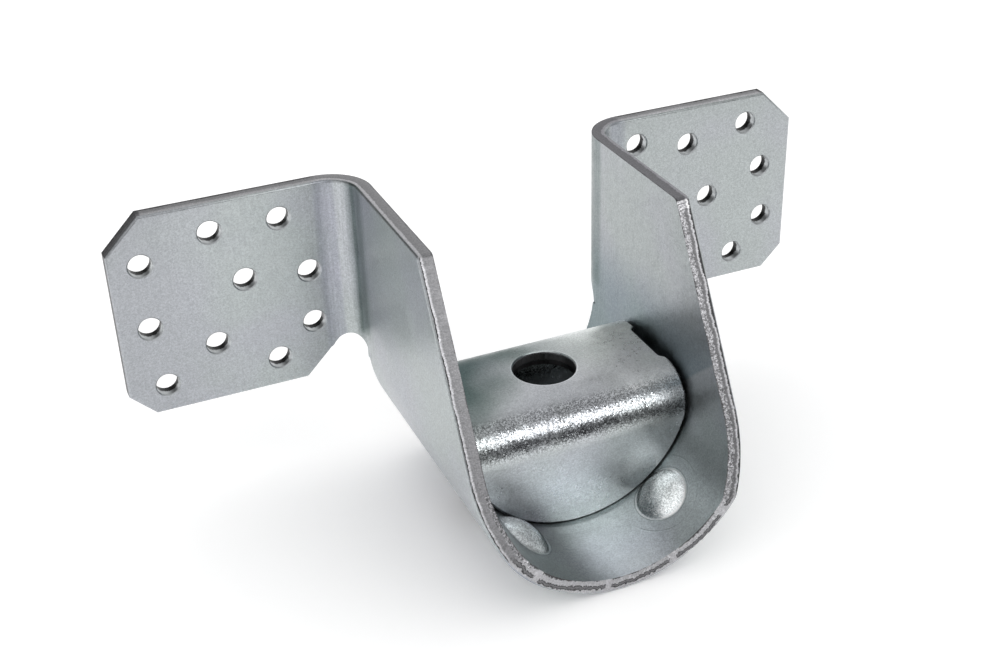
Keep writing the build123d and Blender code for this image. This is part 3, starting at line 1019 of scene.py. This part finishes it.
def round_outer_rims(piece, sheet_normal, size):
    """Rounds the sharp rims where the outer faces meet the cut edges."""
    select_only(piece)
    bpy.ops.object.mode_set(mode="EDIT")
    bpy.ops.mesh.select_mode(type="EDGE")
    bpy.ops.mesh.select_all(action="DESELECT")
    bpy.ops.object.mode_set(mode="OBJECT")
    mesh = piece.data
    faces_of = {}
    for face in mesh.polygons:
        for key in face.edge_keys:
            faces_of.setdefault(key, []).append(face)
    for edge in mesh.edges:
        joined = faces_of[edge.key]
        facing = [face.normal.dot(sheet_normal(face.center)) for face in joined]
        is_rim = max(facing) > FACING_FACE and abs(min(facing, key=abs)) < FACING_CUT
        edge.select = len(joined) == 2 and is_rim
    bpy.ops.object.mode_set(mode="EDIT")
    bpy.ops.mesh.bevel(offset=size, segments=2, affect="EDGES", clamp_overlap=True)
    bpy.ops.object.mode_set(mode="OBJECT")
    bpy.ops.object.shade_smooth_by_angle(angle=RIM_SMOOTH_ANGLE)


def is_screw_hole(face):
    """True for the walls and slanted rims of the screw holes, well inside the flange's outline."""
    place = face.center
    out = abs(place.x)
    drop = BODY_HIGH.z - place.z
    within_sides = BEND_X + HOLE_BEND_GAP < out < BODY_HIGH.x - HOLE_EDGE_GAP
    within_height = HOLE_EDGE_GAP < drop < FLANGE_HEIGHT - HOLE_EDGE_GAP
    off_corners = (BODY_HIGH.x - out) + min(drop, FLANGE_HEIGHT - drop) > CORNER_GAP
    on_flange = place.y > FLANGE_FRONT - FRONT_SLACK
    return within_sides and within_height and off_corners and on_flange and abs(face.normal.y) < FACING_FACE


def mark_cut_faces(piece, sheet_normal):
    """Gives the sheared faces the second material slot."""
    for face in piece.data.polygons:
        is_cut = abs(face.normal.dot(sheet_normal(face.center))) < FACING_CUT
        face.material_index = 1 if is_cut else 0


class TIEDOWN_OT_saddle(bpy.types.Operator):
    """Makes the folded saddle with its flanges."""

    bl_idname = "tiedown.saddle"
    bl_label = "Saddle"

    def execute(self, context):
        settings = context.scene.tiedown_finish
        piece = merged_copy("body", "saddle_sheet")
        make_materials = sheet_material, sheared_material, hole_material
        give_materials(piece, [make(settings) for make in make_materials])
        mark_cut_faces(piece, body_sheet_normal)
        for face in piece.data.polygons:
            if is_screw_hole(face):
                face.material_index = 2
        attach(piece, "saddle")
        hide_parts("body")
        return {"FINISHED"}


class TIEDOWN_OT_washer(bpy.types.Operator):
    """Makes the crescent washer."""

    bl_idname = "tiedown.washer"
    bl_label = "Crescent washer"

    def execute(self, context):
        settings = context.scene.tiedown_finish
        piece = merged_copy("crescent_washer", "washer_pressing")
        give_materials(piece, [washer_material(settings), washer_edge_material(settings)])
        round_outer_rims(piece, washer_sheet_normal, WASHER_RIM)
        mark_cut_faces(piece, washer_sheet_normal)
        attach(piece, "washer")
        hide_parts("crescent_washer")
        return {"FINISHED"}


def add_lamp(name, place, target, size, power):
    """A rectangular soft lamp that faces a place. It shows in the steel, but doesn't light matt surfaces."""
    lamp = bpy.data.lights.new(name, "AREA")
    lamp.shape = "RECTANGLE"
    lamp.size, lamp.size_y = size
    lamp.energy = power
    holder = bpy.data.objects.new(name, lamp)
    bpy.context.scene.collection.objects.link(holder)
    holder.location = place
    holder.visible_diffuse = False
    holder.rotation_euler = (Vector(target) - Vector(place)).to_track_quat("-Z", "Y").to_euler()
    return holder


def add_card(name, place, size):
    """A dark studio card that stands across the front and shows only in the steel."""
    bpy.ops.object.select_all(action="DESELECT")
    bpy.ops.mesh.primitive_plane_add(size=1.0, location=place, rotation=(math.pi / 2, 0, 0))
    card = bpy.context.active_object
    card.name = name
    card.scale = (size[0], size[1], 1.0)
    bpy.ops.object.transform_apply(location=True, rotation=True, scale=True)
    material = bpy.data.materials.new(name)
    material.use_nodes = True
    shader = material.node_tree.nodes["Principled BSDF"]
    shader.inputs["Base Color"].default_value = CARD_COLOR
    shader.inputs["Roughness"].default_value = 1.0
    card.data.materials.append(material)
    card.visible_camera = False
    card.visible_diffuse = False
    card.visible_shadow = False


def stage_world(settings):
    """Soft studio surround: pale at the horizon, bright at the back right and front left, darker between."""
    world = bpy.data.worlds.new("Studio")
    bpy.context.scene.world = world
    world.use_nodes = True
    tree = world.node_tree
    tree.nodes.clear()
    parts = split_place(tree, add_node(tree, "ShaderNodeTexCoord").outputs["Generated"])
    right_level = remap(tree, parts["Y"], *RIGHT_LEVELS)
    left_level = remap(tree, parts["Y"], *LEFT_LEVELS)
    level = mix_values(tree, remap(tree, parts["X"], *SIDE_CHANGE), left_level, right_level)
    level = mix_values(tree, fade(tree, parts["Z"], *HORIZON), level, 1.0)
    path = add_node(tree, "ShaderNodeLightPath").outputs
    level = mix_values(tree, path["Is Diffuse Ray"], level, settings.fill)
    surround = add_node(tree, "ShaderNodeBackground", None, {"Color": (1, 1, 1, 1), "Strength": level})
    out = add_node(tree, "ShaderNodeOutputWorld")
    tree.links.new(surround.outputs[0], out.inputs["Surface"])


def floor_material(settings):
    """A pale matt floor that the camera and the steel see brightened towards white."""
    material = bpy.data.materials.new("Floor")
    material.use_nodes = True
    tree = material.node_tree
    tree.nodes.clear()
    path = add_node(tree, "ShaderNodeLightPath").outputs
    seen = calc(tree, "MAXIMUM", path["Is Camera Ray"], path["Is Glossy Ray"])
    white = [channel * settings.floor_white for channel in settings.floor]
    color = blend_colors(tree, seen, settings.floor, white)
    plain = add_node(tree, "ShaderNodeBsdfDiffuse", None, {"Color": color})
    out = add_node(tree, "ShaderNodeOutputMaterial")
    tree.links.new(plain.outputs[0], out.inputs["Surface"])
    return material


def add_camera():
    """The camera at the photograph's viewpoint."""
    camera = bpy.data.objects.new("camera", bpy.data.cameras.new("camera"))
    bpy.context.scene.collection.objects.link(camera)
    turn = Matrix((CAMERA_RIGHT, CAMERA_UP, CAMERA_BACK)).transposed().to_4x4()
    camera.matrix_world = Matrix.Translation(CAMERA_PLACE) @ turn
    camera.data.sensor_width = CAMERA_SENSOR
    camera.data.lens = CAMERA_LENS
    camera.data.clip_start = CAMERA_NEAR
    return camera


class TIEDOWN_OT_stage(bpy.types.Operator):
    """Sets the floor, the surround, the lamp, the card and the camera."""

    bl_idname = "tiedown.stage"
    bl_label = "Stage"

    def execute(self, context):
        scene = context.scene
        settings = scene.tiedown_stage
        scene.view_settings.view_transform = "Standard"
        bpy.ops.object.select_all(action="DESELECT")
        bpy.ops.mesh.primitive_plane_add(size=FLOOR_SIZE, location=(0, 0, BODY_LOW.z - FLOOR_GAP))
        floor = context.active_object
        floor.name = "floor"
        floor.data.materials.append(floor_material(settings))
        stage_world(settings)
        lamp = add_lamp("key", KEY_PLACE, (0, 0, 0), KEY_SIZE, settings.key_power)
        lamp.rotation_euler.rotate_axis("Z", KEY_ROLL)
        add_card("front_card", (0, CARD_Y, BODY_LOW.z + CARD_SIZE[1] / 2), CARD_SIZE)
        scene.camera = add_camera()
        return {"FINISHED"}


class TIEDOWN_PT_panel(bpy.types.Panel):
    """Lists the pieces and their settings."""

    bl_label = "Girder tiedown"
    bl_space_type = "VIEW_3D"
    bl_region_type = "UI"
    bl_category = "Tiedown"

    def draw(self, context):
        for settings in (context.scene.tiedown_finish, context.scene.tiedown_stage):
            for key in settings.__annotations__:
                self.layout.prop(settings, key)
        for operator in OPERATORS:
            self.layout.operator(operator.bl_idname)


OPERATORS = (TIEDOWN_OT_saddle, TIEDOWN_OT_washer, TIEDOWN_OT_stage)
CLASSES = (FinishSettings, StageSettings) + OPERATORS + (TIEDOWN_PT_panel,)


def register():
    """Adds the classes and the scene's settings."""
    for item in CLASSES:
        bpy.utils.register_class(item)
    bpy.types.Scene.tiedown_finish = PointerProperty(type=FinishSettings)
    bpy.types.Scene.tiedown_stage = PointerProperty(type=StageSettings)


def unregister():
    """Removes the scene's settings and the classes."""
    del bpy.types.Scene.tiedown_stage
    del bpy.types.Scene.tiedown_finish
    for item in reversed(CLASSES):
        bpy.utils.unregister_class(item)


def main():
    """Makes every piece."""
    register()
    bpy.ops.tiedown.stage()
    bpy.ops.tiedown.saddle()
    bpy.ops.tiedown.washer()


if __name__ == "__main__":
    main()
